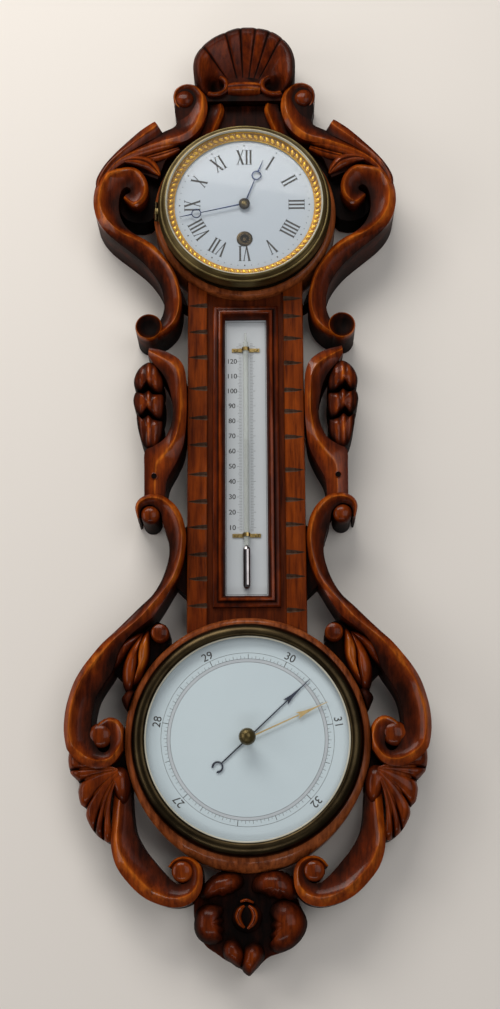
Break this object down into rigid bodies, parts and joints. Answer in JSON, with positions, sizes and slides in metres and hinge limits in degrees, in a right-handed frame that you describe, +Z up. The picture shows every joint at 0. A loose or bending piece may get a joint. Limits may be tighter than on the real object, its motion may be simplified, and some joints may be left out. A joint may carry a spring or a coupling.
{
  "type": "wall clock with barometer and thermometer",
  "caption": "Carved wooden wall case with scrolled sides, a shell crest and a flower pendant, holding a hinged-front clock, a tube thermometer and an aneroid barometer.",
  "frame": {"origin": "centre of the hanging plate's back face, on the wall plane, above the clock", "axes": "+X to the viewer's right, +Y into the wall, +Z up; the dials face -Y"},
  "size_m": [0.3698, 0.075, 1.0278],
  "materials": {
    "carved_wood": "polished oak",
    "column_wood": "polished oak, straight grain",
    "brass": "lacquered",
    "dark_brass": "dark aged",
    "gilt": "gilt, engine turned",
    "enamel": "white enamel",
    "glass": "clear",
    "blued_steel": "blued",
    "steel": "polished",
    "mercury": "liquid metal"
  },
  "bodies": {
    "case": {"column_board": "column_wood", "window_moulding": "carved_wood", "clock_surround": "carved_wood", "barometer_surround": "carved_wood", "wing_left": "carved_wood", "wing_right": "carved_wood", "shell_crest": "carved_wood", "flower_pendant": "carved_wood", "movement_drum": "dark_brass", "movement_back_cover": "brass", "bezel_hinge_pin": "brass", "clock_dial": "enamel", "winding_grommet": "brass", "back_plate": "brass", "front_plate": "brass", "ratchet_click": "steel", "escapement_platform": "brass", "aneroid_case": "brass", "barometer_dial": "enamel", "barometer_slip": "steel", "barometer_glass": "glass", "barometer_bezel": "dark_brass", "aneroid_base_plate": "brass", "vacuum_capsule": "brass", "aneroid_bridge": "brass", "hairspring": "blued_steel", "thermometer_scale": "enamel", "thermometer_tube": "glass", "mercury": "mercury", "upper_clip": "brass", "lower_clip": "brass", "hanging_plate": "brass", "hanging_screw_1": "steel", "hanging_screw_2": "steel"},
    "bezel": {"clock_bezel": "dark_brass", "clock_glass": "glass", "sight_ring": "gilt"},
    "centre": {"centre_arbor": "steel", "centre_wheel": "brass", "cannon_pinion": "steel", "minute_hand": "blued_steel", "hand_nut": "brass"},
    "hour": {"hour_wheel": "brass", "hour_hand": "blued_steel"},
    "minute_wheel": {"minute_wheel": "brass"},
    "barrel": {"mainspring_barrel": "brass"},
    "winding": {"barrel_arbor": "steel"},
    "third": {"third_wheel": "brass"},
    "balance": {"balance_wheel": "brass"},
    "set_hand": {"set_hand": "brass", "set_hand_knob": "dark_brass"},
    "regulator": {"regulator": "steel"},
    "pressure": {"pressure_hand": "blued_steel", "hand_arbor": "steel"},
    "levers": {"main_spring": "steel", "capsule_stud": "brass", "main_lever": "brass", "connecting_link": "steel"}
  },
  "joints": [
    {"name": "bezel_hinge", "type": "hinge", "parent": "case", "child": "bezel", "pos_m": [-0.097, -0.049, -0.125], "axis": [0, 0, -1], "range_deg": [0, 80]},
    {"name": "minute_turn", "type": "hinge", "parent": "case", "child": "centre", "pos_m": [0, -0.052, -0.125], "axis": [0, 1, 0], "continuous": true},
    {"name": "hour_turn", "type": "hinge", "parent": "case", "child": "hour", "pos_m": [0, -0.0575, -0.125], "axis": [0, 1, 0], "continuous": true},
    {"name": "minute_wheel_turn", "type": "hinge", "parent": "case", "child": "minute_wheel", "pos_m": [0.0118, -0.0535, -0.11674], "axis": [0, 1, 0], "continuous": true},
    {"name": "barrel_turn", "type": "hinge", "parent": "case", "child": "barrel", "pos_m": [0, -0.034, -0.1648], "axis": [0, 1, 0], "continuous": true},
    {"name": "winding_turn", "type": "hinge", "parent": "case", "child": "winding", "pos_m": [0, -0.034, -0.1648], "axis": [0, 1, 0], "continuous": true},
    {"name": "third_turn", "type": "hinge", "parent": "case", "child": "third", "pos_m": [-0.02122, -0.022, -0.11275], "axis": [0, 1, 0], "continuous": true},
    {"name": "balance_swing", "type": "hinge", "parent": "case", "child": "balance", "pos_m": [0, -0.0335, -0.06517], "axis": [0, 0, 1], "range_deg": [-120, 120]},
    {"name": "set_hand_turn", "type": "hinge", "parent": "case", "child": "set_hand", "pos_m": [0, -0.05, -0.702], "axis": [0, 1, 0], "continuous": true},
    {"name": "regulator_rock", "type": "hinge", "parent": "case", "child": "regulator", "pos_m": [0, -0.0235, -0.744], "axis": [1, 0, 0], "range_deg": [-17.9, 8.6]},
    {"name": "pressure_turn", "type": "hinge", "parent": "case", "child": "pressure", "pos_m": [0, -0.0482, -0.702], "axis": [0, 1, 0], "range_deg": [-179, 86]},
    {"name": "lever_rock", "type": "hinge", "parent": "case", "child": "levers", "pos_m": [0, -0.025, -0.664], "axis": [1, 0, 0], "range_deg": [-0.45, 0.22]}
  ],
  "couplings": [
    {"joint": "hour_turn", "follows": "minute_turn", "ratio": 0.083333},
    {"joint": "minute_wheel_turn", "follows": "minute_turn", "ratio": -0.33333},
    {"joint": "barrel_turn", "follows": "minute_turn", "ratio": -0.16667},
    {"joint": "third_turn", "follows": "minute_turn", "ratio": -6},
    {"joint": "pressure_turn", "follows": "regulator_rock", "ratio": 10},
    {"joint": "lever_rock", "follows": "regulator_rock", "ratio": 0.025}
  ]
}
